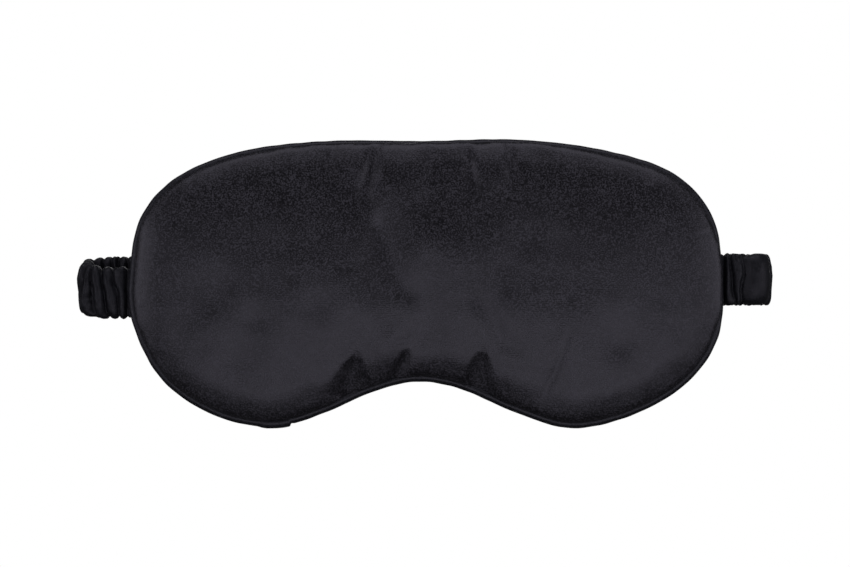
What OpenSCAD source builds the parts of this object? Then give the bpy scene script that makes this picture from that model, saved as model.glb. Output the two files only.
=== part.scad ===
// Padded sleep eye mask with corded piping and a gathered satin head strap.
// +X runs along the mask, +Z is up, and the front faces -Y.
// The origin is the middle of the flat face side, where the mask rests on the wearer.

/* [Mask] */
// Width over the piping
mask_w = 210; // [195:1:225]
// How far the front bulges out from its seam
front_crown = 8; // [6:0.5:10]
// How far the face side bulges back from its seam
back_crown = 5; // [5:0.25:6]
// Distance over which the padding swells from the seam to full thickness
crown_run = 16; // [14:0.5:17]
// Thickness of the satin panels
panel_t = 0.6; // [0.4:0.1:0.7]
// Thickness of the blackout lining
lining_t = 0.4; // [0.2:0.1:0.5]

/* [Piping] */
// Diameter of the covered piping
piping_d = 3; // [2.6:0.1:3.2]
// Diameter of the cord inside the piping
cord_d = 2; // [1.6:0.1:2]
// Extra radius where the ends of the piping cover overlap
join_rise = 0.3; // [0:0.1:0.4]

/* [Strap] */
// Width of the gathered strap
strap_w = 18; // [16:0.5:20]
// Thickness of the gathered strap
strap_t = 3.2; // [2.8:0.1:3.6]
// Width of the elastic inside the strap
elastic_w = 16; // [12:0.5:16]
// Thickness of the elastic
elastic_t = 1.2; // [0.8:0.1:1.2]
// How far the relaxed strap stands out past the mask's side
strap_reach = 18; // [15:0.5:22]
// Gap between the face side and the rear run of the relaxed strap
loop_gap = 8; // [7:0.5:10]
// Height of the strap's middle above the middle of the mask
strap_z = -1; // [-4:0.5:4]
// Length of the middle stretch of the rear run
rear_w = 60; // [40:2:80]

/* [Hidden] */

// Corners that the outline of a mask of the design width curves through, [x, z],
// clockwise from the left side seam as the front is looked at.
design_w = 210;
outline_corners = [
    [-105, 6], [-101, 24], [-88, 38], [-65, 47], [-35, 50.5], [0, 50.5],
    [32, 51], [62, 47.5], [87, 39.5], [101, 25], [105, 6], [104, -18],
    [93, -35], [74, -46.5], [52, -51.5], [32, -46], [12, -37.5], [-4, -35],
    [-20, -39], [-36, -46], [-54, -51], [-75, -47], [-94, -34], [-104.5, -13]
];
steps = 4;             // points along the curve for each corner
slack = 0.05;          // air between sewn layers
split = 0.3;           // air between two moving stretches of the strap
stitch_t = 0.4;        // thickness of a stitch
thread_inset = 4.3;    // seam line, measured in from the outer edge
allowance = 5.6;       // width of the sewn-in flange of the piping
flange_t = 0.5;        // thickness of that flange
end_t = 2.2;           // thickness of the strap where the seam presses it flat
end_in = 7.8;          // how far the strap's ends reach in from the outer edge
end_out = 1.5;         // how far they come out past it
closing_count = 12;    // hand stitches that close the turning gap
closing_first = 80;    // outline point where they start
closing_per_step = 2;  // stitches for each step along the outline
tack_bars = 8;         // bars in one zigzag bar tack
join_first = 78;       // outline points where the piping cover laps over itself
join_last = 79;

// The mask's layers: how far each ring is across the crown, and how high it is there.
crown_u = [0, 0.06, 0.18, 0.35, 0.6, 1];
pad_rings = [3, 4, 5]; // the padding starts inside the seam allowance

piping_r = piping_d / 2;
seam_y = -back_crown;
front_y = seam_y - flange_t / 2 - slack;
back_y = seam_y + flange_t / 2 + slack;
edge_inset = piping_d + 2 * slack;
wrap_from = piping_r + cord_d / 2 + slack; // where the cover's two edges meet
strap_y = seam_y + piping_r + slack + end_t / 2;
rear_y = loop_gap + strap_t / 2;
turn_r = (rear_y - strap_y) / 2;
side_x = mask_w / 2;
turn_x = side_x + strap_reach - turn_r - strap_t / 2;
lining_off = panel_t + slack;
pad_front_off = lining_off + lining_t + slack;
pad_back_off = panel_t + 3 * slack;

corners = [for (p = outline_corners) p * mask_w / design_w];
count = len(corners) * steps;

// Point on a smooth curve between b and c, with a and d as its outer neighbours.
function spline(a, b, c, d, t) =
    0.5 * (2 * b + (c - a) * t + (2 * a - 5 * b + 4 * c - d) * t * t + (3 * b - a - 3 * c + d) * t * t * t);
function corner(i) = corners[(i + len(corners)) % len(corners)];
outline = [
    for (i = [0:len(corners) - 1]) for (k = [0:steps - 1])
        spline(corner(i - 1), corner(i), corner(i + 1), corner(i + 2), k / steps)
];
function unit(v) = v / norm(v);
function along(i) = unit(outline[(i + 1) % count] - outline[(i + count - 1) % count]);
function inward(i) = [along(i)[1], -along(i)[0]];

// A point of the mask: outline point i, moved in by inset, at depth y.
function rim(i, inset, y) =
    let (p = outline[i % count] + inward(i % count) * inset)
    [p[0], y, p[1]];

// Rounded rise of the padding, 0 at the seam and 1 at full thickness.
function rise(u) = sqrt(1 - (1 - u) * (1 - u));
// 1 where the strap passes through the seam, 0 away from it.
function at_strap(i) =
    let (p = outline[i], past = abs(p[1] - strap_z) - strap_w / 2)
    abs(p[0]) < side_x * 0.8 ? 0 : max(0, min(1, 2 - past / 3));

function crown_inset(u, off) = edge_inset + off + u * (crown_run - off);
function front_ring(u, off) =
    [for (i = [0:count - 1]) rim(i, crown_inset(u, off), front_y - (front_crown - off) * rise(u))];
// The face side lifts over the strap's ends, which lie between it and the piping.
strap_lift = 0.88;
function back_ring(u, off) = [
    for (i = [0:count - 1])
        let (lifted = max(rise(u), strap_lift), share = rise(u) + (lifted - rise(u)) * at_strap(i))
        rim(i, crown_inset(u, off), back_y + (-back_y - off) * share)
];
function reversed(list) = [for (i = [len(list) - 1:-1:0]) list[i]];
function front_rings(off) = [for (u = crown_u) front_ring(u, off)];
function back_rings(off) = [for (u = crown_u) back_ring(u, off)];

// Solid through rings of equal length, closed by its first and last ring.
module loft(rings) {
    n = len(rings[0]);
    last = len(rings) - 1;
    polyhedron(
        points = [for (ring = rings) for (p = ring) p],
        faces = concat(
            [[for (i = [n - 1:-1:0]) i]],
            [for (k = [0:last - 1]) for (i = [0:n - 1])
                [k * n + i, k * n + (i + 1) % n, (k + 1) * n + (i + 1) % n, (k + 1) * n + i]],
            [[for (i = [0:n - 1]) last * n + i]]
        )
    );
}

// Closed band round the mask with a section, a list of [inset, y], at each outline point.
module band(sections) {
    n = len(sections[0]);
    polyhedron(
        points = [for (i = [0:count - 1]) for (s = sections[i]) rim(i, s[0], s[1])],
        faces = [for (i = [0:count - 1]) for (k = [0:n - 1])
            [i * n + k, i * n + (k + 1) % n,
             ((i + 1) % count) * n + (k + 1) % n, ((i + 1) % count) * n + k]]
    );
}
function everywhere(section) = [for (i = [0:count - 1]) section];

// Round of radius r in the piping, whose middle is moved out by shift.
function round_section(r, shift = 0) =
    [for (a = [22.5:45:337.5]) [piping_r - shift + r * cos(a), seam_y + r * sin(a)]];
// Front or back layer of the flange, from y to the flange's face.
function layer(from, y) = [[from, seam_y + y], [edge_inset + allowance, seam_y + y]];
// The cover is a strip wrapped round the cord, and its two edges lie together as a flange.
function cover_section(rise) = concat(
    reversed(layer(piping_d, -flange_t / 2)),
    reversed(round_section(piping_r + rise, rise)),
    layer(piping_d, flange_t / 2),
    reversed(layer(wrap_from, slack / 2)),
    round_section(cord_d / 2 + slack),
    layer(wrap_from, -slack / 2)
);
function thread_section(y) = [
    [thread_inset, y], [thread_inset + stitch_t, y],
    [thread_inset + stitch_t, y + stitch_t], [thread_inset, y + stitch_t]
];

module front_panel() {
    color("#1d1f24") loft(concat(reversed(front_rings(panel_t)), front_rings(0)));
}

module blackout_lining() {
    color("#2c2c2c") loft(concat(reversed(front_rings(lining_off + lining_t)), front_rings(lining_off)));
}

module padding() {
    color("#d8d8d4") loft(concat(
        [for (k = reversed(pad_rings)) back_ring(crown_u[k], pad_back_off)],
        [for (k = pad_rings) front_ring(crown_u[k], pad_front_off)]
    ));
}

module back_panel() {
    color("#1b1d22") loft(concat(reversed(back_rings(0)), back_rings(panel_t)));
}

// The cover's end is folded under and lapped over its start, which makes it thicker there.
module piping_cover() {
    color("#202227") band([
        for (i = [0:count - 1])
            cover_section(i >= join_first && i <= join_last ? join_rise : 0)
    ]);
}

module piping_cord() {
    color("#e8e6df") band(everywhere(round_section(cord_d / 2)));
}

// The needle thread lies in front of the flange and the bobbin thread behind it.
module seam_thread() {
    color("#101010") {
        band(everywhere(thread_section(seam_y - flange_t / 2 - slack - stitch_t)));
        band(everywhere(thread_section(seam_y + flange_t / 2 + slack)));
    }
}

// Small stitches from the piping to the face side, along the gap left for turning.
module closing_stitches() {
    y = seam_y + piping_r + slack;
    reach = edge_inset - piping_r;
    color("#141414")
        for (k = [0:closing_count - 1])
            let (
                i = closing_first + floor(k / closing_per_step),
                past = (k % closing_per_step) / closing_per_step,
                foot = rim(i, piping_r, y) * (1 - past) + rim(i + 1, piping_r, y) * past
            )
                translate(foot)
                    rotate([0, -atan2(along(i)[1], along(i)[0]), 0])
                        translate([0, 0, -reach]) cube([stitch_t, stitch_t, reach]);
}

// A flat stretch of strap, from x0 to x1 on the right, with its middle at depth y.
module strap_run(x0, x1, y, w, t) {
    translate([x0, y - t / 2, strap_z - w / 2]) cube([x1 - x0, t, w]);
}

// The strap from just outside the right side seam round to the start of the rear run.
module strap_turn(w, t) {
    strap_run(side_x + end_out + split / 2, turn_x, strap_y, w, t);
    translate([turn_x, strap_y + turn_r, strap_z - w / 2])
        rotate([0, 0, -90])
            rotate_extrude(angle = 180, $fn = 96)
                translate([turn_r - t / 2, 0]) square([t, w]);
}

module tube_end() {
    difference() {
        strap_run(side_x - end_in, side_x + end_out - split / 2, strap_y, strap_w, end_t);
        strap_run(0, turn_x, strap_y, elastic_w + 2 * slack, elastic_t + 2 * slack);
    }
}

module tube_turn() {
    difference() {
        strap_turn(strap_w, strap_t);
        strap_turn_core();
    }
}

// The room for the elastic in a turn, longer than the turn at its open ends.
module strap_turn_core() {
    w = elastic_w + 2 * slack;
    t = elastic_t + 2 * slack;
    strap_turn(w, t);
    strap_run(side_x, side_x + 2 * end_out, strap_y, w, t);
    strap_run(turn_x - 1, turn_x, rear_y, w, t);
}

module tube_run(x0, x1) {
    difference() {
        strap_run(x0, x1, rear_y, strap_w, strap_t);
        strap_run(x0 - 1, x1 + 1, rear_y, elastic_w + 2 * slack, elastic_t + 2 * slack);
    }
}

module tack() {
    bar = elastic_w / tack_bars;
    for (k = [0:tack_bars - 1])
        translate([
            side_x - end_in + 1, front_y - stitch_t, strap_z - elastic_w / 2 + (k + 0.5) * bar
        ])
            rotate([0, (k % 2 == 0 ? 1 : -1) * 35, 0])
                cube([stitch_t, stitch_t, bar * 1.2], center = true);
}

module on_left() mirror([1, 0, 0]) children();

satin = "#16171b";
web = "#0c0c0d";
side_end = rear_w / 2 + split / 2;

module sleeve_end_right() { color(satin) tube_end(); }
module sleeve_end_left() { on_left() sleeve_end_right(); }
module elastic_end_right() {
    color(web) strap_run(side_x - end_in, side_x + end_out - split / 2, strap_y, elastic_w, elastic_t);
}
module elastic_end_left() { on_left() elastic_end_right(); }
module bartack_right() { color(web) tack(); }
module bartack_left() { on_left() bartack_right(); }
module sleeve_turn_right() { color(satin) tube_turn(); }
module sleeve_turn_left() { on_left() sleeve_turn_right(); }
module elastic_turn_right() { color(web) strap_turn(elastic_w, elastic_t); }
module elastic_turn_left() { on_left() elastic_turn_right(); }
module sleeve_side_right() { color(satin) tube_run(side_end, turn_x); }
module sleeve_side_left() { on_left() sleeve_side_right(); }
module elastic_side_right() { color(web) strap_run(side_end, turn_x, rear_y, elastic_w, elastic_t); }
module elastic_side_left() { on_left() elastic_side_right(); }
module sleeve_back() { color(satin) tube_run(-side_end + split, side_end - split); }
module elastic_back() {
    color(web) strap_run(-side_end + split, side_end - split, rear_y, elastic_w, elastic_t);
}

front_panel();
blackout_lining();
padding();
back_panel();
piping_cover();
piping_cord();
seam_thread();
closing_stitches();
sleeve_end_left();
sleeve_end_right();
elastic_end_left();
elastic_end_right();
bartack_left();
bartack_right();
sleeve_turn_left();
sleeve_turn_right();
elastic_turn_left();
elastic_turn_right();
sleeve_side_left();
sleeve_side_right();
elastic_side_left();
elastic_side_right();
sleeve_back();
elastic_back();
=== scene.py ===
import math

import bmesh
import bpy
import numpy as np
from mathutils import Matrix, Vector, noise
from mathutils.bvhtree import BVHTree


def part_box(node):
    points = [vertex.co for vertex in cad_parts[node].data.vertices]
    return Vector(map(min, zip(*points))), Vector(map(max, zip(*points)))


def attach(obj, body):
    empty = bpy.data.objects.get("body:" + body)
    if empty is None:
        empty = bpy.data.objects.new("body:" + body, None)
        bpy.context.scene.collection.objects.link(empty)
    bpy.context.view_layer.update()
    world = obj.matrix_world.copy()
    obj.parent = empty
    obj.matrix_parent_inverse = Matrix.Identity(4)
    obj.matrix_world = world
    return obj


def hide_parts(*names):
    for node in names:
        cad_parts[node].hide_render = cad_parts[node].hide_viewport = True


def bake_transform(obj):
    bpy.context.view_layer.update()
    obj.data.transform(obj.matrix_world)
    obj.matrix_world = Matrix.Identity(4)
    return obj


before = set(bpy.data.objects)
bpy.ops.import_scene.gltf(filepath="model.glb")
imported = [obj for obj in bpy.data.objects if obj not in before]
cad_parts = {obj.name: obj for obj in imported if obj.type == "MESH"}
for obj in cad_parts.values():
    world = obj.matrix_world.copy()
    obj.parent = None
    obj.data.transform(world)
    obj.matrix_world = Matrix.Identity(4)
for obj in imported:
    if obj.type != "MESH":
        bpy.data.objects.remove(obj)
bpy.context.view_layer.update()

# Everything is worked out in millimetres and made in metres.
MM = 0.001

# ---------------------------------------------------------------- measures from the frame


def box(node):
    """Lowest and highest corner of a CAD node, in millimetres."""
    low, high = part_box(node)
    return np.array(low) / MM, np.array(high) / MM


def mesh_points(mesh):
    """A mesh's points, in millimetres."""
    return np.array([v.co for v in mesh.vertices], float) / MM


COVER_HIGH = box("piping_cover")[1]
FRONT_LOW, FRONT_HIGH = box("front_panel")
BACK_LOW, BACK_HIGH = box("back_panel")
END_LOW, END_HIGH = box("sleeve_end_right")
TURN_HIGH = box("sleeve_turn_right")[1]
REAR_LOW, REAR_HIGH = box("sleeve_back")
WEB_LOW, WEB_HIGH = box("elastic_back")
CORD_LOW, CORD_HIGH = box("piping_cord")

SEAM_Y = (CORD_LOW[1] + CORD_HIGH[1]) / 2
PIPE_R = 1.5                            # radius of the piping, cover included
FRONT_Y = FRONT_HIGH[1]                 # plane of the front panel's rim
BACK_Y = BACK_LOW[1]                    # plane of the back panel's rim
FRONT_CROWN = FRONT_HIGH[1] - FRONT_LOW[1]
BACK_CROWN = BACK_HIGH[1] - BACK_LOW[1]
HALF_W = COVER_HIGH[0]
MID_Z = 3.0                             # height of the line that the panels' columns run to
MID_X = 64.0                            # half that line's length
STRAP_Z = (END_LOW[2] + END_HIGH[2]) / 2
STRAP_W = END_HIGH[2] - END_LOW[2]
STRAP_T = REAR_HIGH[1] - REAR_LOW[1]
STRAP_Y = (END_LOW[1] + END_HIGH[1]) / 2
REAR_Y = (REAR_LOW[1] + REAR_HIGH[1]) / 2
TURN_R = (REAR_Y - STRAP_Y) / 2
TURN_X = TURN_HIGH[0] - TURN_R - STRAP_T / 2

# ---------------------------------------------------------------- helpers


def smooth(low, high, x):
    """0 below low, 1 above high, with a smooth step between."""
    t = np.clip((np.asarray(x, float) - low) / (high - low), 0, 1)
    return t * t * (3 - 2 * t)


def rough(points, size, seed=0.0):
    """Soft noise from -1 to 1, one value a point, with lumps about that many millimetres across."""
    at = np.asarray(points, float) / size + seed
    return np.array([noise.noise(Vector(p)) for p in at])


def rough_line(x, size, seed):
    """The same along one line."""
    x = np.asarray(x, float)
    flat = np.stack([x.ravel(), np.full(x.size, seed * 7.3), np.full(x.size, seed * 3.1)], axis=1)
    flat[:, 1:] *= size
    return rough(flat, size).reshape(x.shape)


def new_object(name, points, faces, material):
    """A smooth-shaded mesh object from points in millimetres."""
    mesh = bpy.data.meshes.new(name)
    mesh.from_pydata((np.asarray(points, float) * MM).tolist(), [], faces)
    mesh.validate()
    mesh.update()
    mesh.polygons.foreach_set("use_smooth", [True] * len(mesh.polygons))
    obj = bpy.data.objects.new(name, mesh)
    bpy.context.scene.collection.objects.link(obj)
    if material is not None:
        mesh.materials.append(material)
    return obj


def grid_faces(rows, columns, close_rows=False, close_columns=False):
    """Quads of a grid of points stored row by row."""
    faces = []
    for r in range(rows if close_rows else rows - 1):
        for c in range(columns if close_columns else columns - 1):
            a, b = r * columns + c, r * columns + (c + 1) % columns
            d = ((r + 1) % rows) * columns
            faces.append((a, b, d + (c + 1) % columns, d + c))
    return faces


def thicken(obj, thickness, offset=0.0):
    """Cloth of this thickness: on both sides of the surface at offset 0, outside it at 1, inside at -1."""
    solid = obj.modifiers.new("cloth thickness", "SOLIDIFY")
    solid.thickness = thickness * MM
    solid.offset = offset
    solid.use_rim = True


def place(obj, body, slot, *nodes):
    """The piece rides on a body and stands for CAD nodes, which it hides; the slot is not used."""
    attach(obj, body)
    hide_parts(*nodes)


def face_out(obj):
    """Turn every face of a closed piece or a tube outwards."""
    mesh = bmesh.new()
    mesh.from_mesh(obj.data)
    bmesh.ops.recalc_face_normals(mesh, faces=mesh.faces)
    mesh.to_mesh(obj.data)
    mesh.free()
    return obj


def evaluated_mesh(obj):
    """An object's mesh with its modifiers at work."""
    return obj.evaluated_get(bpy.context.evaluated_depsgraph_get()).to_mesh()


def remove(obj):
    """Take away a helper object and its mesh."""
    mesh = obj.data
    bpy.data.objects.remove(obj)
    bpy.data.meshes.remove(mesh)


# ---------------------------------------------------------------- the seam line


def seam_corners():
    """The outer edge of the front panel's rim in the CAD mesh, clockwise from the left."""
    points = mesh_points(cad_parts["front_panel"].data)
    rim = points[points[:, 1] > FRONT_Y - 0.01][:, [0, 2]]
    rim = np.unique(np.round(rim, 3), axis=0)
    middle = np.array([0.0, MID_Z])
    away = rim - middle
    turn = np.arctan2(away[:, 1], -away[:, 0])
    order = np.argsort(turn)
    rim, turn = rim[order], turn[order]
    step = np.linalg.norm(np.diff(rim, axis=0, append=rim[:1]), axis=1)
    groups, group = [], [rim[0]]
    for k in range(1, len(rim)):
        if step[k - 1] > 2.0:
            groups.append(group)
            group = []
        group.append(rim[k])
    groups.append(group)
    return np.array([max(g, key=lambda p: np.linalg.norm(p - middle)) for g in groups])


def closed_curve(corners, count):
    """count points, evenly spaced, on a smooth closed curve through the corners."""
    fine = 12
    before, after, last = np.roll(corners, 1, 0), np.roll(corners, -1, 0), np.roll(corners, -2, 0)
    t = (np.arange(fine) / fine)[None, :, None]
    a, b, c, d = (x[:, None, :] for x in (before, corners, after, last))
    curve = 0.5 * (
        2 * b + (c - a) * t + (2 * a - 5 * b + 4 * c - d) * t**2 + (3 * b - a - 3 * c + d) * t**3
    )
    curve = curve.reshape(-1, 2)
    curve = np.vstack([curve, curve[:1]])
    length = np.concatenate([[0], np.cumsum(np.linalg.norm(np.diff(curve, axis=0), axis=1))])
    at = np.arange(count) / count * length[-1]
    return np.stack([np.interp(at, length, curve[:, k]) for k in (0, 1)], axis=1), length[-1]


def outward(curve):
    """Outward normals of a closed curve that runs clockwise as the front is looked at."""
    along = np.roll(curve, -3, 0) - np.roll(curve, 3, 0)
    along /= np.linalg.norm(along, axis=1)[:, None]
    return np.stack([-along[:, 1], along[:, 0]], axis=1)


SEAM, SEAM_LENGTH = closed_curve(seam_corners(), 1400)
SEAM_OUT = outward(SEAM)
RIM_INSET = COVER_HIGH[0] - SEAM[:, 0].max()


# ---------------------------------------------------------------- the two padded panels

ACROSS = 84      # columns along the middle line, over each of its sides
FAN = 92         # columns round each end of it
RINGS = 26       # rings from the seam to the middle line
BATCH = 2000     # points measured against the seam at a time
FILL_FRAMES = 20    # how long the pillow is blown up


def columns():
    """Where each column starts on the seam, where it ends on the middle line, and that end's number."""
    x, z = SEAM[:, 0], SEAM[:, 1]
    line = np.linspace(-MID_X, MID_X, ACROSS + 1)
    feet, numbers = [], []

    def crossing(side):
        near = side & (np.abs(x) < MID_X + 4)
        order = np.argsort(x[near])
        return np.interp(line, x[near][order], z[near][order])

    def fan(sign):
        near = sign * x > MID_X - 4
        turn = np.arctan2(z[near] - MID_Z, sign * x[near] - MID_X)
        order = np.argsort(turn)
        at = np.linspace(math.pi / 2, -math.pi / 2, FAN + 2)[1:-1]
        found = np.stack([np.interp(at, turn[order], v[near][order]) for v in (x, z)], axis=1)
        return found if sign > 0 else found[::-1]

    top, bottom = crossing(z > MID_Z), crossing(z < MID_Z)
    for k in range(ACROSS + 1):
        feet.append((line[k], top[k]))
        numbers.append(k)
    for p in fan(1):
        feet.append(p)
        numbers.append(ACROSS)
    for k in range(ACROSS, -1, -1):
        feet.append((line[k], bottom[k]))
        numbers.append(k)
    for p in fan(-1):
        feet.append(p)
        numbers.append(0)
    heads = np.stack([line, np.full(len(line), MID_Z)], axis=1)
    return np.array(feet), heads, np.array(numbers)


FEET, HEADS, HEAD_OF = columns()
COLUMNS = len(FEET)
SHARES = np.array([0.35 * u + 0.65 * u * u for u in np.arange(RINGS) / RINGS])


def panel_plan():
    """The panels' points in plan, [x, z], ring by ring from the seam, then along the middle line."""
    rings = [FEET + (HEADS[HEAD_OF] - FEET) * share for share in SHARES]
    return np.vstack([*rings, HEADS])


def ring_faces(rings):
    """Faces between that many rings of columns and the middle line, looking out of the front."""
    faces = []
    for c in range(COLUMNS):
        e = (c + 1) % COLUMNS
        for r in range(rings - 1):
            faces.append((r * COLUMNS + c, (r + 1) * COLUMNS + c, (r + 1) * COLUMNS + e, r * COLUMNS + e))
        inner = (rings - 1) * COLUMNS
        a, b = (rings * COLUMNS + int(HEAD_OF[k]) for k in (c, e))
        faces.append((inner + c, a, inner + e) if a == b else (inner + c, a, b, inner + e))
    return faces


def flipped(faces):
    return [f[::-1] for f in faces]


def shifted(faces, by):
    """The same faces on points that are stored that many places later."""
    return [tuple(v + by for v in f) for f in faces]


def edge_band(n):
    """Faces that join the outer rings of two panels, the second stored n points later."""
    return [(c, (c + 1) % COLUMNS, n + (c + 1) % COLUMNS, n + c) for c in range(COLUMNS)]


def with_y(plan, y):
    """Points in plan, [x, z], and their y, as points in space."""
    return np.stack([plan[:, 0], y, plan[:, 1]], axis=1)


def seam_squares(plan):
    """Squared distances from points in plan to every second point of the seam, in batches."""
    for start in range(0, len(plan), BATCH):
        part = plan[start:start + BATCH]
        yield ((part[:, None, :] - SEAM[None, ::2, :]) ** 2).sum(2)


def seam_distance(plan):
    """How far each point in plan is from the seam line."""
    return np.concatenate([np.sqrt(squares.min(1)) for squares in seam_squares(plan)])


def nearest_seam(plan):
    """The number of the seam point nearest to each point in plan."""
    return np.concatenate([squares.argmin(1) * 2 for squares in seam_squares(plan)])


def strap_leaves(x):
    """How far above its CAD height the strap leaves the side seam, which differs from side to side."""
    return np.where(x < 0, -2.5, 2.4)


def strap_lift(plan):
    """1 where the strap's ends lie under the face side's rim, 0 away from them."""
    past = np.abs(plan[:, 1] - STRAP_Z - strap_leaves(plan[:, 0])) - STRAP_W / 2
    return (1 - smooth(0.0, 2.4, past)) * (np.abs(plan[:, 0]) > MID_X)


def inflated(plan, gaps):
    """Both panels blown up as cloth: heights over the rims, and the points moved in plan."""
    n = len(plan)
    rise = np.sqrt(1 - (1 - np.clip(gaps / 18, 0, 1)) ** 2)
    start = np.vstack([
        with_y(plan, FRONT_Y - 0.6 * FRONT_CROWN * rise),
        with_y(plan, BACK_Y + 0.5 * BACK_CROWN * rise),
    ])
    faces = ring_faces(RINGS) + shifted(flipped(ring_faces(RINGS)), n) + edge_band(n)
    pillow = new_object("pillow", start, faces, None)
    pins = pillow.vertex_groups.new(name="sewn")
    pins.add([*range(COLUMNS), *range(n, n + COLUMNS)], 1.0, "REPLACE")
    cloth = pillow.modifiers.new("cloth", "CLOTH")
    how = cloth.settings
    how.quality = 7
    how.mass = 0.15
    how.tension_stiffness = how.compression_stiffness = 15
    how.shear_stiffness = 4
    how.bending_stiffness = 8
    how.use_pressure = True
    how.uniform_pressure_force = 3.0
    how.vertex_group_mass = "sewn"
    how.shrink_min = -0.018
    how.effector_weights.gravity = 0
    cloth.collision_settings.use_collision = False
    scene = bpy.context.scene
    for step in range(1, FILL_FRAMES + 1):
        scene.frame_set(step)
    found = mesh_points(evaluated_mesh(pillow))
    scene.frame_set(1)
    remove(pillow)
    return found[:n], found[n:]


def evened(points, faces, fixed, passes):
    """The points with each pulled towards the middle of its neighbours, passes times."""
    edges = np.array([(f[k], f[(k + 1) % len(f)]) for f in faces for k in range(len(f))])
    edges = np.unique(np.sort(edges, axis=1), axis=0)
    a, b = edges.T
    many = np.bincount(edges.ravel(), minlength=len(points))[:, None]
    points = points.copy()
    for _ in range(passes):
        total = np.zeros_like(points)
        np.add.at(total, a, points[b])
        np.add.at(total, b, points[a])
        moved = 0.45 * points + 0.55 * total / many
        moved[:fixed] = points[:fixed]
        points = moved
    return points


def subdivided(points, faces):
    """Points and faces after one smooth subdivision."""
    cage = new_object("cage", points, faces, None)
    surface = cage.modifiers.new("finer", "SUBSURF")
    surface.levels = surface.render_levels = 1
    surface.boundary_smooth = "PRESERVE_CORNERS"
    fine = evaluated_mesh(cage)
    found = mesh_points(fine), [tuple(p.vertices) for p in fine.polygons]
    remove(cage)
    return found


def from_path(plan, path):
    """Distance of each point in plan from a line through corners, and how far along the line, 0 to 1."""
    path = np.array(path, float)
    runs = np.linalg.norm(np.diff(path, axis=0), axis=1)
    before = np.concatenate([[0], np.cumsum(runs)])
    gap, along = np.full(len(plan), 1e9), np.zeros(len(plan))
    for a, b, run, start in zip(path[:-1], path[1:], runs, before):
        t = np.clip(((plan - a) @ (b - a)) / run**2, 0, 1)
        d = np.linalg.norm(plan - a - t[:, None] * (b - a), axis=1)
        nearer = d < gap
        gap[nearer], along[nearer] = d[nearer], (start + t[nearer] * run) / before[-1]
    return gap, along


# Folds pressed into the front: [x, z] along the fold, then its width and its depth at both ends.
FOLDS = [
    ([(-20, 26), (-11, 4), (-1, -11)], (4.2, 4.2), (1.0, 0.8)),
    ([(15, 41), (15.5, 23), (19, -5), (27, -20), (39, -27)], (4.4, 3.2), (0.6, 0.9)),
    ([(51, -15), (46, -30), (40, -43)], (1.0, 1.3), (0.25, 0.55)),
]
# Tucks drawn in by the seam: [x, z] from the tip to the seam, half the width at both ends, how far the
# cloth is drawn in, 0 to 1, and how hard the tuck's edges are.
TUCKS = [
    ([(-20, 18), (-21.5, 33), (-16.5, 48)], (3.4, 2.2), 0.45, 2),
    ([(18, 27), (14, 48)], (2.6, 1.6), 0.38, 2),
    ([(31, 32), (29, 48)], (2.4, 1.5), 0.40, 2),
    ([(-35, 33), (-33, 48)], (2.2, 1.4), 0.30, 2),
    ([(3, 34), (2, 48)], (2.2, 1.4), 0.25, 2),
    ([(-24.3, -25.5), (-25.5, -31), (-27, -36)], (1.2, 7.5), 1.0, 4),
    ([(-5.5, -23.0), (-9.5, -28.5), (-12, -33)], (1.0, 3.0), 1.0, 4),
    ([(19.9, -24.0), (19, -35)], (1.2, 6.0), 1.0, 4),
]
# Soft hollows (positive) and swells (negative): middle, radius, depth.
HOLLOWS = [
    ((68, -20), 6.5, 1.0), ((-75, -4), 9, 0.7), ((-65, -26), 8, 0.8), ((-61, -13), 4.5, 0.5),
    ((-32, -10), 22, -1.1), ((10, -12), 20, -0.7), ((-4, 37), 8, -0.8), ((26, 39), 6, -0.5),
    ((-57, 25), 8, -0.4), ((44, 25), 8, -0.4), ((68, 21), 10, -0.4), ((-14, -24), 6, -0.5),
    ((5, -24), 8, -0.4), ((34, -12), 10, -0.4), ((-37, -7), 7, 0.6),
]
# How far the front reaches out over the piping: middle of the stretch, its half length, how far.
ROLLS = [
    ((0, 50), 62, 1.6),
    ((105, 2), 17, 2.2),
    ((-104, 2), 26, 0.8),
    ((92, 32), 30, 0.8),
    ((-92, 32), 30, 0.8),
]
ROLL_ALL = 0.35         # how far it reaches everywhere else
ROLL_TOP = 2.2          # distance from the seam, along the cloth, of what reaches furthest
ROLL_END = 6.0, 14.0    # where the roll fades


def roll_at(feet):
    """How far the front panel reaches out over the piping at points of the seam."""
    roll = np.full(len(feet), ROLL_ALL)
    for middle, half, far in ROLLS:
        gap = np.linalg.norm(feet - np.array(middle), axis=1)
        roll += (far - ROLL_ALL) * (1 - smooth(0.55, 1.25, gap / half)) * (roll < far)
    wave = rough_line(np.arange(len(feet)) * SEAM_LENGTH / len(feet), 5.5, 4.0)
    top = smooth(10, 40, feet[:, 1]) * (1 - smooth(50, 75, np.abs(feet[:, 0])))
    return roll + wave * (0.15 + 0.35 * top)


# Slopes of the crown: [how steep, where it starts to ease, where it is gone], counted from the seam.
SLOPES = [(0.75, 0.5, 4.0), (0.57, 3.0, 11.0), (0.115, 12.0, 46.0)]


def crown(gaps, high):
    """A panel's smooth height over its rim: a steep edge, then a slow rise to high in the middle."""
    along = np.linspace(0, 50, 501)
    slope = sum(steep * (1 - smooth(start, end, along)) for steep, start, end in SLOPES)
    rise = np.concatenate([[0], np.cumsum((slope[1:] + slope[:-1]) / 2 * np.diff(along))])
    return np.interp(gaps, along, rise * high / rise[-1])


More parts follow.
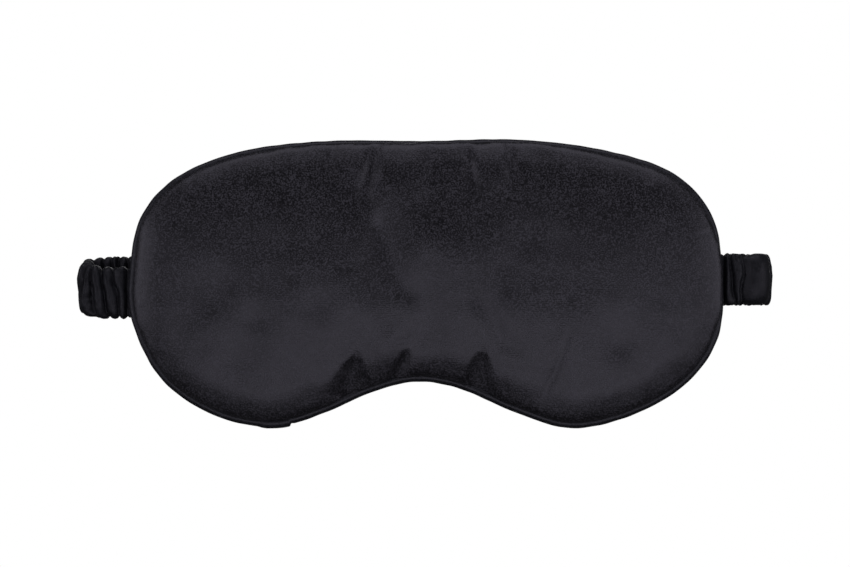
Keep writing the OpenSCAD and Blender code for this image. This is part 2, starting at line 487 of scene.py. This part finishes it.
def unevenness(height, gaps):
    """How far each height lies off the mean height at the same distance from the seam."""
    bins = np.arange(0, gaps.max() + 2.0, 1.0)
    which = np.clip(gaps.astype(int), 0, len(bins) - 1)
    many = np.maximum(np.bincount(which, minlength=len(bins)), 1)
    mean = np.bincount(which, weights=height, minlength=len(bins)) / many
    filled = mean > 0
    return height - np.interp(gaps, bins[filled] + 0.5, mean[filled])


def front_shape(raw):
    """The simulated front, at the CAD crown's height, with its folds."""
    faces = ring_faces(RINGS)
    points = evened(raw, faces, COLUMNS, 3)
    points, faces = subdivided(points, faces)
    plan = points[:, [0, 2]]
    gaps, foot = seam_distance(plan), nearest_seam(plan)
    inner = smooth(0.8, 4.0, gaps)
    high = 0.98 * FRONT_CROWN
    nose = 1 - smooth(30, 62, np.abs(plan[:, 0] - 4))
    crumple = unevenness(FRONT_Y - points[:, 1], gaps) * (0.15 + 0.20 * nose) * smooth(0, 3, gaps)
    height = crown(gaps, high) + crumple
    pressed = np.zeros(len(height))
    for path, widths, depths in FOLDS:
        gap, along = from_path(plan, path)
        width, depth = (v[0] + (v[1] - v[0]) * along for v in (widths, depths))
        taper = smooth(0, 0.15, along) * (1 - smooth(0.72, 1.0, along))
        groove, shoulders = np.exp(-((gap / width) ** 2)), np.exp(-((gap / width / 2.2) ** 2))
        pressed += depth * taper * (groove - 0.15 * shoulders)
    for middle, radius, depth in HOLLOWS:
        gap = np.linalg.norm(plan - np.array(middle), axis=1)
        pressed += depth * np.exp(-((gap / radius) ** 2))
    height = np.maximum(height, 0.02)
    height *= np.exp(-pressed / np.maximum(height, 0.8))
    for path, widths, share, edge in TUCKS:
        path = np.array(path, float)
        path[-1] = SEAM[nearest_seam(path[-1:])[0]]
        gap, along = from_path(plan, path)
        width = widths[0] + (widths[1] - widths[0]) * along
        ramp = crown(seam_distance(path[:1]), high) * (1 - along)
        height += share * (np.minimum(height, ramp) - height) * np.exp(-((gap / width) ** edge))
    height += inner * (0.22 * rough(points, 17, 3.1) + 0.07 * rough(points, 6.5, 9.4))
    over = gaps / ROLL_TOP * np.exp(1 - gaps / ROLL_TOP) * (1 - smooth(*ROLL_END, gaps))
    over *= roll_at(SEAM)[foot] + ROLL_TOP
    points[:, 1] = FRONT_Y - np.maximum(height, 0)
    points[:, [0, 2]] += SEAM_OUT[foot] * over[:, None]
    return points, faces


def back_shape(raw):
    """The simulated face side, flat where it rests on the face, and lifted over the strap's ends."""
    faces = flipped(ring_faces(RINGS))
    points = evened(raw, faces, COLUMNS, 3)
    points, faces = subdivided(points, faces)
    plan = points[:, [0, 2]]
    gaps = seam_distance(plan)
    inner = smooth(0.5, 4.0, gaps)
    height = 0.97 * BACK_CROWN * np.tanh(np.maximum(points[:, 1] - BACK_Y, 0) / 3.4)
    height += inner * (0.10 * rough(points, 15, 21.0) + 0.05 * rough(points, 6, 12.0)) - 0.12 * inner
    points[:, 1] = BACK_Y + np.maximum(height, 0)
    over_strap = END_HIGH[1] + 0.35
    lifted = np.maximum(points[:, 1], over_strap + 0.25 * smooth(0, 6, gaps))
    share = strap_lift(plan) * (1 - smooth(9, 14, gaps))
    points[:, 1] += (lifted - points[:, 1]) * share
    return points, faces


# ---------------------------------------------------------------- piping

JOIN = np.array([-48.5, -50.0])     # where the cover's end laps over its start
JOIN_RISE = 0.28


def piping_shape():
    """A strip wrapped round the cord, with its two flanges reaching into the seam."""
    turns = np.radians(np.linspace(24, 336, 21))
    count = 1200
    pick = (np.arange(count) * len(SEAM) / count).astype(int)
    base, out = SEAM[pick], SEAM_OUT[pick]
    s = np.arange(count) * SEAM_LENGTH / count
    join_s = s[np.linalg.norm(base - JOIN, axis=1).argmin()]
    lap = smooth(-0.35, 0.0, s - join_s) * (1 - smooth(7, 11, s - join_s)) * JOIN_RISE
    lap -= 0.15 * np.exp(-(((s - join_s + 0.9) / 0.7) ** 2))
    size = PIPE_R * (1 + 0.025 * rough_line(s, 7, 1.0)) + lap
    crease = 0.035 * (1 + 0.8 * np.sin(s / 9.0))
    columns_in = []
    for inset in (-3.2, 0.25):
        columns_in.append((np.full(count, inset), np.full(count, 0.2)))
    for t in turns:
        r = size + crease * np.sin(s / 1.35 + 0.35 * t)
        columns_in.append((RIM_INSET - PIPE_R + lap - r * math.cos(t), r * math.sin(t)))
    for inset in (0.25, -3.2):
        columns_in.append((np.full(count, inset), np.full(count, -0.2)))
    away = np.stack([a for a, _ in columns_in], axis=1)
    rise = np.stack([b for _, b in columns_in], axis=1)
    points = np.stack([
        base[:, None, 0] + out[:, None, 0] * away,
        SEAM_Y + rise,
        base[:, None, 1] + out[:, None, 1] * away,
    ], axis=2)
    return points.reshape(-1, 3), grid_faces(count, len(columns_in), True, False)


# ---------------------------------------------------------------- strap

END_X = END_LOW[0]                                  # where the strap starts, between the panels
LEG = TURN_X - END_X                                # from there to its turn
HALF_LOOP = LEG + math.pi * TURN_R + TURN_X         # from an end to the middle of the rear run
SPLIT = TURN_X + math.pi * TURN_R / 2               # from that middle to the turn's outermost line
SEAM_Q = HALF_LOOP - (HALF_W - END_X)               # from that middle to the side seam
WEB_W = WEB_HIGH[2] - WEB_LOW[2]
WEB_T = WEB_HIGH[1] - WEB_LOW[1]
PLEAT = 3.3                                         # between gathers behind
# Valleys between the gathers at each end, counted from the side seam.
LEFT_VALLEYS = (0.9, 4.4, 9.1, 12.4, 15.3, 18.4)
RIGHT_VALLEYS = (0.4, 3.3, 7.2, 19.0)


def gathers():
    """Every valley between gathers, along the whole loop from the left end to the right one."""
    left = [-SEAM_Q - 7.0, -SEAM_Q - 3.2, *[-SEAM_Q + v for v in LEFT_VALLEYS]]
    right = [*[SEAM_Q - v for v in reversed(RIGHT_VALLEYS)], SEAM_Q + 3.0, SEAM_Q + 7.0]
    count = round((right[0] - left[-1]) / PLEAT)
    middle = np.linspace(left[-1], right[0], count + 1)[1:-1]
    middle = middle + 0.8 * rough_line(middle, 5.0, 8.0)
    return np.array([*left, *middle, *right])


VALLEYS = gathers()


def strap_path(q):
    """Middle line of the strap, x and y, and its outward direction; q counts from the rear run's middle."""
    side, u = np.where(q < 0, -1.0, 1.0), np.abs(q)
    turn = np.clip((u - TURN_X) / TURN_R, 0, math.pi)
    past = np.maximum(u - TURN_X - math.pi * TURN_R, 0)
    x = side * (np.minimum(u, TURN_X) + TURN_R * np.sin(turn) - past)
    y = (REAR_Y + STRAP_Y) / 2 + TURN_R * np.cos(turn)
    return x, y, side * np.sin(turn), np.cos(turn)


def strap_height(q):
    """Height of the strap's middle line: it leaves each seam at a height of its own."""
    leaves = strap_leaves(q)
    behind = np.where(q < 0, 1.4, 2.2)
    u = np.abs(q)
    height = 1.9 + (behind - 1.9) * smooth(30, TURN_X, u)
    return STRAP_Z + height + (leaves - behind) * smooth(TURN_X - 2, TURN_X + math.pi * TURN_R + 3, u)


def strap_grid(q0, q1, step, around):
    rows = max(2, int(round((q1 - q0) / step)) + 1)
    q = np.linspace(q0, q1, rows)[:, None]
    turn = np.linspace(0, 2 * math.pi, around, endpoint=False)[None, :]
    return rows, q + 0 * turn, turn + 0 * q


def strap_points(q, across, out):
    """Points at q along the strap, across it in height and out from its middle line."""
    x, y, out_x, out_y = strap_path(q)
    points = np.stack([x + out_x * out, y + out_y * out, strap_height(q) + across], axis=2)
    return points.reshape(-1, 3)


def slant(q):
    """How far the gathers lean along the strap from its middle height to its top edge."""
    past = SEAM_Q - np.abs(q)
    left = 3.2 * smooth(11, 17, past) - 1.3 * smooth(2, 6, past)
    right = 2.0 * smooth(4.5, 7.0, past) - 1.5 * smooth(1, 3, past)
    return np.where(q < 0, left, right) * (1 - smooth(18, 30, past))


def sleeve_shape(q0, q1):
    """The gathered tube from q0 to q1."""
    around = 88
    rows, q, turn = strap_grid(q0, q1, 0.30, around)
    c, s = np.cos(turn), np.sin(turn)
    across = np.sign(c) * np.abs(c) ** 0.72
    outer = s >= 0
    flat = np.stack([q, 9 * across, np.where(outer, 0.0, 60.0)], axis=2).reshape(-1, 3)
    drift = 1.15 * rough(flat, 8, 5.0).reshape(q.shape) + 0.35 * rough(flat, 3, 2.0).reshape(q.shape)
    drift += np.where(outer, 0.0, 0.9) + across * slant(q)
    drift *= smooth(1.0, 6.0, np.abs(np.abs(q) - SEAM_Q)) * 0.75 + 0.25
    at = np.interp(q + drift, VALLEYS, np.arange(len(VALLEYS)))
    pleat = np.abs(np.sin(math.pi * at)) ** 0.75
    past = SEAM_Q - np.abs(q)
    full = np.where(q < 0, 0.75, 0.2) * np.exp(-(((past - 13.5) / 4.5) ** 2))
    size = 1 + 0.40 * rough_line(at, 1.4, 3.0) + full
    fine = 0.10 * rough(flat, 1.6, 7.0).reshape(q.shape)
    depth = 0.72 + (2.0 * pleat * size + fine) * (0.62 + 0.38 * np.abs(s))
    pressed = 1 - smooth(SEAM_Q - 1.2, SEAM_Q + 0.6, np.abs(q))
    depth = depth * pressed + 0.85 * (1 - pressed)
    edge = np.abs(across) ** 3
    frill = (pleat - 0.55) * 1.3 + 0.35 * rough(flat, 4, 11.0).reshape(q.shape)
    width = 8.7 + frill * pressed
    swing = 0.55 * edge * pressed * np.sin(math.pi * at + 3 * rough_line(at, 2.0, 6.0))
    proud = 0.2 * np.exp(-(((np.abs(q) - SPLIT) / 5.5) ** 2))
    out = np.sign(s) * np.abs(s) ** 0.42 * depth + swing + proud
    return strap_points(q, across * width, out), grid_faces(rows, around, False, True)


def web_shape(q0, q1):
    """The flat elastic web inside the sleeve, with its lengthwise ribs."""
    around = 72
    rows, q, turn = strap_grid(q0, q1, 1.2, around)
    c, s = np.cos(turn), np.sin(turn)
    across = np.sign(c) * np.abs(c) ** 0.9 * WEB_W / 2
    rib = 0.92 + 0.08 * np.cos(across / WEB_W * 2 * math.pi * 11)
    out = np.sign(s) * np.abs(s) ** 0.25 * WEB_T / 2 * rib
    return strap_points(q, across, out), grid_faces(rows, around, False, True)


# ---------------------------------------------------------------- inner pieces

INNER_RINGS = 16


def surface_tree(points, faces):
    return BVHTree.FromPolygons([tuple(p) for p in points], faces)


def surface_y(tree, plan, from_front):
    """Height in Y of a panel over each point in plan, seen from the front or from behind."""
    start, way = (-60.0, Vector((0, 1, 0))) if from_front else (60.0, Vector((0, -1, 0)))
    found = [tree.ray_cast(Vector((x, start, z)), way)[0] for x, z in plan]
    blank = FRONT_Y if from_front else BACK_Y
    return np.array([blank if hit is None else hit[1] for hit in found])


def inset_plan(inset, rings):
    """Columns like the panels', starting inset from the seam: points in plan, and their faces."""
    feet = FEET - SEAM_OUT[nearest_seam(FEET)] * inset
    shares = (np.arange(rings) / rings) ** 1.3
    plan = np.vstack([*[feet + (HEADS[HEAD_OF] - feet) * t for t in shares], HEADS])
    return plan, ring_faces(rings)


def lining_shape(front_tree):
    """The blackout lining, close behind the front."""
    plan, faces = inset_plan(1.2, INNER_RINGS)
    return with_y(plan, surface_y(front_tree, plan, True) + 0.65), faces


def wadding_shape(front_tree, back_tree):
    """A closed pad that fills the space between the lining and the back panel."""
    plan, faces = inset_plan(4.2, INNER_RINGS)
    n = len(plan)
    front = surface_y(front_tree, plan, True) + 1.3
    back = surface_y(back_tree, plan, False) - 0.8
    clear = STRAP_Y - 1.9
    ends = strap_lift(plan) * (np.abs(plan[:, 0]) > END_X - 2)
    back += (np.minimum(back, clear) - back) * ends
    loft = np.abs(0.25 * rough(with_y(plan, 0 * plan[:, 0]), 9, 14.0))
    back = np.maximum(back - loft, front + 0.8)
    points = np.vstack([with_y(plan, front + loft), with_y(plan, back)])
    return points, faces + shifted(flipped(faces), n) + edge_band(n)


def tube(path, radius, sides=8):
    """A thread along a few points, with closed ends."""
    path = [Vector(p) for p in path]
    points = []
    for k, p in enumerate(path):
        along = (path[min(k + 1, len(path) - 1)] - path[max(k - 1, 0)]).normalized()
        across = along.cross(Vector((0.31, 0.2, 0.93))).normalized()
        over = along.cross(across)
        for j in range(sides):
            t = 2 * math.pi * j / sides
            points.append(p + (across * math.cos(t) + over * math.sin(t)) * radius)
    faces = grid_faces(len(path), sides, False, True)
    faces.append(tuple(range(sides))[::-1])
    faces.append(tuple(range(len(points) - sides, len(points))))
    return points, faces


STITCH_GAP = 2.6    # from one stitch to the next
STITCH_R = 0.16     # radius of the thread


def stitches_shape(back_tree):
    """Small hand stitches over the seam, on the face side, along the stretch that the CAD gives them."""
    low, high = box("closing_stitches")
    x, z = SEAM.T
    inside = (x > low[0]) & (x < high[0]) & (z > low[2] - 2) & (z < high[2] + 2)
    stretch = np.nonzero(inside)[0]
    step = STITCH_GAP * len(SEAM) / SEAM_LENGTH
    points, faces = [], []
    for k in np.arange(stretch[0], stretch[-1], step).astype(int):
        base, out = SEAM[k], SEAM_OUT[k]
        along = np.array([out[1], -out[0]])
        path = []
        for t in np.linspace(0, 1, 9):
            spot = base + out * (0.9 - 3.1 * t) + along * 0.9 * t
            y = surface_y(back_tree, [spot], False)[0]
            rest = max(y, SEAM_Y + 1.25) + 0.05 + 0.20 * math.sin(math.pi * t) - 0.35 * (t in (0.0, 1.0))
            path.append((spot[0], rest, spot[1]))
        more, more_faces = tube(path, STITCH_R)
        faces += shifted(more_faces, len(points))
        points += more
    return points, faces


# ---------------------------------------------------------------- materials


class Nodes:
    """A node material with a Principled shader; sizes are in millimetres on the object."""

    def __init__(self, name, **numbers):
        self.material = bpy.data.materials.new(name)
        self.material.use_nodes = True
        self.tree = self.material.node_tree
        self.shader = self.tree.nodes["Principled BSDF"]
        for socket, value in numbers.items():
            self.shader.inputs[socket.replace("_", " ")].default_value = value
        self.at = self.add("ShaderNodeTexCoord").outputs["Object"]

    def add(self, kind, **settings):
        node = self.tree.nodes.new(kind)
        for key, value in settings.items():
            setattr(node, key, value)
        return node

    def link(self, source, target):
        self.tree.links.new(source, target)

    def noise(self, size, detail=2.0, roughness=0.5):
        node = self.add("ShaderNodeTexNoise")
        node.inputs["Scale"].default_value = 1 / (size * MM)
        node.inputs["Detail"].default_value = detail
        node.inputs["Roughness"].default_value = roughness
        self.link(self.at, node.inputs["Vector"])
        return node.outputs["Fac"]

    def bands(self, pitch, axis, wobble=0.0):
        node = self.add("ShaderNodeTexWave", wave_type="BANDS", bands_direction=axis, wave_profile="SIN")
        # one band of this texture is 2 pi / 20 units long at scale 1
        node.inputs["Scale"].default_value = 2 * math.pi / 20 / (pitch * MM)
        node.inputs["Distortion"].default_value = wobble
        node.inputs["Detail"].default_value = 1.0
        node.inputs["Detail Scale"].default_value = 1.5
        self.link(self.at, node.inputs["Vector"])
        return node.outputs["Fac"]

    def sums(self, *terms):
        """The sum of value * weight over the terms."""
        total = None
        for value, weight in terms:
            node = self.add("ShaderNodeMath", operation="MULTIPLY_ADD")
            self.link(value, node.inputs[0])
            node.inputs[1].default_value = weight
            if total is None:
                node.inputs[2].default_value = 0.0
            else:
                self.link(total, node.inputs[2])
            total = node.outputs[0]
        return total

    def spread(self, value, low, high, to_low, to_high):
        """The value moved from one range to another."""
        node = self.add("ShaderNodeMapRange")
        self.link(value, node.inputs["Value"])
        ends = {"From Min": low, "From Max": high, "To Min": to_low, "To Max": to_high}
        for socket, number in ends.items():
            node.inputs[socket].default_value = number
        return node.outputs["Result"]

    def colours(self, value, dark, light, low=0.3, high=0.7):
        ramp = self.add("ShaderNodeValToRGB")
        ramp.color_ramp.elements[0].position, ramp.color_ramp.elements[0].color = low, (*dark, 1)
        ramp.color_ramp.elements[1].position, ramp.color_ramp.elements[1].color = high, (*light, 1)
        self.link(value, ramp.inputs["Fac"])
        self.link(ramp.outputs["Color"], self.shader.inputs["Base Color"])

    def rough(self, value, low, high):
        self.link(self.spread(value, 0.3, 0.7, low, high), self.shader.inputs["Roughness"])

    def bump(self, height, depth):
        node = self.add("ShaderNodeBump")
        node.inputs["Distance"].default_value = depth * MM
        node.inputs["Strength"].default_value = 1.0
        self.link(height, node.inputs["Height"])
        self.link(node.outputs["Normal"], self.shader.inputs["Normal"])


def satin(name, dark, light, gloss, sheen, weave=0.7, depth=0.075, matt=0.0):
    """Fine satin: soft mottling, a grain of threads, and faint ribs every weave millimetres."""
    m = Nodes(
        name, IOR=1.45, Specular_IOR_Level=gloss, Specular_Tint=(0.86, 0.82, 1.0, 1.0),
        Sheen_Weight=sheen, Sheen_Roughness=0.35, Sheen_Tint=(0.80, 0.80, 1.0, 1.0), Anisotropic=0.35,
    )
    mottle = m.noise(9.0, 3.0)
    threads = m.noise(0.52, 0.5, 0.6)
    grain = m.noise(2.1, 1.0)
    ribs = m.bands(weave, "Z", 1.2)
    m.colours(m.sums((mottle, 0.15), (threads, 0.75), (grain, 0.10)), dark, light, 0.46, 0.63)
    m.rough(m.sums((threads, 0.9), (mottle, 0.1)), 0.33 + matt, 0.54 + matt)
    m.bump(m.sums((threads, 0.85), (ribs, 0.08), (grain, 0.30)), depth)
    return m.material


def plain_weave(name, dark, light, pitch):
    """Threads over and under each other."""
    m = Nodes(name, Specular_IOR_Level=0.3)
    over, under = m.bands(pitch, "X", 0.4), m.bands(pitch, "Z", 0.4)
    weave = m.sums((over, 0.4), (under, 0.4), (m.noise(3.0), 0.2))
    m.colours(weave, dark, light)
    m.rough(weave, 0.7, 0.85)
    m.bump(weave, 0.04)
    return m.material


def fibres(name, dark, light, size):
    """Loose fibres, tangled."""
    m = Nodes(name, Specular_IOR_Level=0.2, Sheen_Weight=0.4)
    tangle = m.noise(size, 6.0, 0.7)
    m.colours(tangle, dark, light)
    m.rough(tangle, 0.85, 0.97)
    m.bump(tangle, 0.3)
    return m.material


def twisted(name, dark, light, pitch):
    """Thread or cord: strands laid slantwise."""
    m = Nodes(name, Specular_IOR_Level=0.35, Sheen_Weight=0.2)
    strands = m.bands(pitch, "DIAGONAL", 0.8)
    fuzz = m.noise(pitch / 2, 3.0)
    lay = m.sums((strands, 0.7), (fuzz, 0.3))
    m.colours(lay, dark, light)
    m.rough(lay, 0.6, 0.8)
    m.bump(lay, pitch / 6)
    return m.material


def knitted(name, dark, light):
    """Elastic web: covered rubber strands along it, crossed by a fine weft."""
    m = Nodes(name, Specular_IOR_Level=0.3)
    weft = m.bands(0.7, "X", 0.6)
    strands = m.bands(1.45, "Z", 0.2)
    web = m.sums((weft, 0.4), (strands, 0.4), (m.noise(1.0), 0.2))
    m.colours(web, dark, light)
    m.rough(web, 0.6, 0.8)
    m.bump(web, 0.12)
    return m.material


# Each satin's darkest and lightest colour, its gloss and its sheen.
PANEL_LOOK = (0.0008, 0.0007, 0.0011), (0.0450, 0.0421, 0.0552), 0.88, 0.04
PIPING_LOOK = (0.0040, 0.0043, 0.0062), (0.0200, 0.0210, 0.0280), 0.75, 0.04
# The strap's satin is much darker than the panels' satin: painted shade that stands in for the shade in its
# gathers.
STRAP_LOOK_DARKENED_FOR_SHADE = (0.0024, 0.0028, 0.0042), (0.0085, 0.0096, 0.0132), 0.56, 0.02
FRONT_SATIN = satin("front satin", *PANEL_LOOK)
BACK_SATIN = satin("face side satin", *PANEL_LOOK)
PIPING_SATIN = satin("piping satin", *PIPING_LOOK, weave=0.6, depth=0.05, matt=0.04)
STRAP_SATIN = satin("strap satin", *STRAP_LOOK_DARKENED_FOR_SHADE, weave=0.7, depth=0.05, matt=0.08)
LINING = plain_weave("lining weave", (0.010, 0.010, 0.010), (0.030, 0.030, 0.030), 0.5)
WADDING = fibres("wadding", (0.60, 0.60, 0.58), (0.86, 0.86, 0.84), 1.2)
CORD = twisted("cotton cord", (0.50, 0.47, 0.40), (0.82, 0.79, 0.72), 1.4)
THREAD = twisted("black thread", (0.006, 0.006, 0.008), (0.030, 0.030, 0.036), 0.3)
ELASTIC = knitted("elastic web", (0.008, 0.008, 0.008), (0.030, 0.030, 0.032))

# ---------------------------------------------------------------- making the pieces

# How thick each cloth is.
PANEL_CLOTH = 0.45
PIPING_CLOTH = 0.25
SLEEVE_CLOTH = 0.30
LINING_CLOTH = 0.20

PLAN = panel_plan()
RAW_FRONT, RAW_BACK = inflated(PLAN, seam_distance(PLAN))

front_points, front_faces = front_shape(RAW_FRONT)
back_points, back_faces = back_shape(RAW_BACK)
front = new_object("front_cover", front_points, front_faces, FRONT_SATIN)
thicken(front, PANEL_CLOTH, -1.0)
place(front, "mask", "mask_satin", "front_panel")
back = new_object("face_side_cover", back_points, back_faces, BACK_SATIN)
thicken(back, PANEL_CLOTH, -1.0)
place(back, "mask", "mask_satin", "back_panel")

piping = new_object("piping_wrap", *piping_shape(), PIPING_SATIN)
thicken(piping, PIPING_CLOTH)
place(piping, "mask", "piping_satin", "piping_cover")


# The loop in four lengths, because a piece can bend across only one joint: its name, its ends along
# the loop, its bodies, and where along X it starts and ends passing from one body to the other.
LENGTHS = [
    ("front_left", -HALF_LOOP, -SPLIT, "mask", "strap_loop", -0.1035, -0.112),
    ("rear_left", -SPLIT, 0.0, "strap_loop", "strap_back", -0.1235, -0.030),
    ("rear_right", 0.0, SPLIT, "strap_loop", "strap_back", 0.1235, 0.030),
    ("front_right", SPLIT, HALF_LOOP, "mask", "strap_loop", 0.1035, 0.112),
]
STANDS_FOR = {
    "front_left": ("end_left", "turn_left"),
    "rear_left": ("side_left", "back"),
    "rear_right": ("side_right", "back"),
    "front_right": ("end_right", "turn_right"),
}
for name, q0, q1, body_a, body_b, start_x, end_x in LENGTHS:
    sleeve = face_out(new_object("sleeve_" + name, *sleeve_shape(q0, q1), STRAP_SATIN))
    thicken(sleeve, SLEEVE_CLOTH, -1.0)
    web = face_out(new_object("elastic_" + name, *web_shape(q0, q1), ELASTIC))
    for piece, kind, slot in ((sleeve, "sleeve_", "strap_satin"), (web, "elastic_", "elastic")):
        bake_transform(piece)
        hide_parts(*[kind + node for node in STANDS_FOR[name]])

FRONT_TREE = surface_tree(front_points, front_faces)
BACK_TREE = surface_tree(back_points, back_faces)
lining = new_object("lining_cloth", *lining_shape(FRONT_TREE), LINING)
thicken(lining, LINING_CLOTH, 1.0)
place(lining, "mask", "lining", "blackout_lining")

wadding = face_out(new_object("wadding", *wadding_shape(FRONT_TREE, BACK_TREE), WADDING))
place(wadding, "mask", "batting", "padding")

hand_stitches = face_out(new_object("hand_stitches", *stitches_shape(BACK_TREE), THREAD))
place(hand_stitches, "mask", "thread", "closing_stitches")

for node, material in (
    ("piping_cord", CORD), ("seam_thread", THREAD), ("bartack_left", THREAD), ("bartack_right", THREAD),
):
    node_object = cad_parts[node]
    node_object.data.materials.clear()
    node_object.data.materials.append(material)

# ---------------------------------------------------------------- room, lights and camera

FLOOR_Z = -350.0


def floor():
    """A round pale floor, well below the mask, with a barely visible tooth."""
    turns = np.linspace(0, 2 * math.pi, 97)[:-1]
    rings = np.array([20, 400, 900, 1400])
    points = [(r * math.cos(t), r * math.sin(t), FLOOR_Z) for r in rings for t in turns]
    faces = grid_faces(len(rings), len(turns), False, True) + [tuple(range(len(turns)))[::-1]]
    m = Nodes("floor paper", Specular_IOR_Level=0.2)
    tooth = m.noise(2.5, 3.0)
    m.colours(tooth, (0.74, 0.74, 0.74), (0.78, 0.78, 0.78))
    m.rough(tooth, 0.8, 0.9)
    m.bump(tooth, 0.05)
    m.shader.inputs["Emission Color"].default_value = (1, 1, 1, 1)
    m.shader.inputs["Emission Strength"].default_value = 0.42
    made = new_object("floor", points, faces, m.material)
    made.visible_diffuse = made.visible_glossy = False    # it is seen, and throws no light back on the mask


def area_light(name, at, size, power):
    """A white lamp that faces the mask; its size and power in metres and watts."""
    data = bpy.data.lights.new(name, "AREA")
    data.shape = "RECTANGLE"
    data.size, data.size_y = size
    data.energy = power
    light = bpy.data.objects.new(name, data)
    light.location = at
    light.rotation_euler = (Vector() - Vector(at)).to_track_quat("-Z", "Y").to_euler()
    bpy.context.scene.collection.objects.link(light)


def surroundings(seen, felt):
    """White behind the mask, and a softer grey that lights it."""
    world = bpy.data.worlds.new("studio")
    bpy.context.scene.world = world
    world.use_nodes = True
    nodes, links = world.node_tree.nodes, world.node_tree.links
    paths = nodes.new("ShaderNodeLightPath")
    lit, shown = nodes["Background"], nodes.new("ShaderNodeBackground")
    lit.inputs["Color"].default_value = (1, 1, 1, 1)
    lit.inputs["Strength"].default_value = felt
    shown.inputs["Color"].default_value = (1, 1, 1, 1)
    shown.inputs["Strength"].default_value = seen
    both = nodes.new("ShaderNodeMixShader")
    links.new(paths.outputs["Is Camera Ray"], both.inputs["Fac"])
    links.new(lit.outputs[0], both.inputs[1])
    links.new(shown.outputs[0], both.inputs[2])
    links.new(both.outputs[0], nodes["World Output"].inputs["Surface"])


floor()
surroundings(1.0, 0.06)
area_light("overhead", (0.0, -0.45, 1.0), (1.4, 0.6), 3.0)
area_light("front", (0.15, -1.4, -0.42), (1.8, 0.76), 4.0)
area_light("left", (-1.2, -0.7, 0.1), (0.5, 1.0), 2.6)
area_light("right", (1.2, -0.7, 0.1), (0.5, 1.0), 2.5)
area_light("behind", (0.0, 1.3, 0.45), (1.6, 0.8), 5.5)

camera_data = bpy.data.cameras.new("camera")
camera_data.lens, camera_data.sensor_width = 100, 36
camera_data.clip_start = 0.01
camera = bpy.data.objects.new("camera", camera_data)
camera.location = (-0.0004, -0.843, -0.0001)
camera.rotation_euler = (math.pi / 2, 0, 0)
bpy.context.scene.collection.objects.link(camera)
bpy.context.scene.camera = camera
bpy.context.scene.view_settings.view_transform = "Standard"
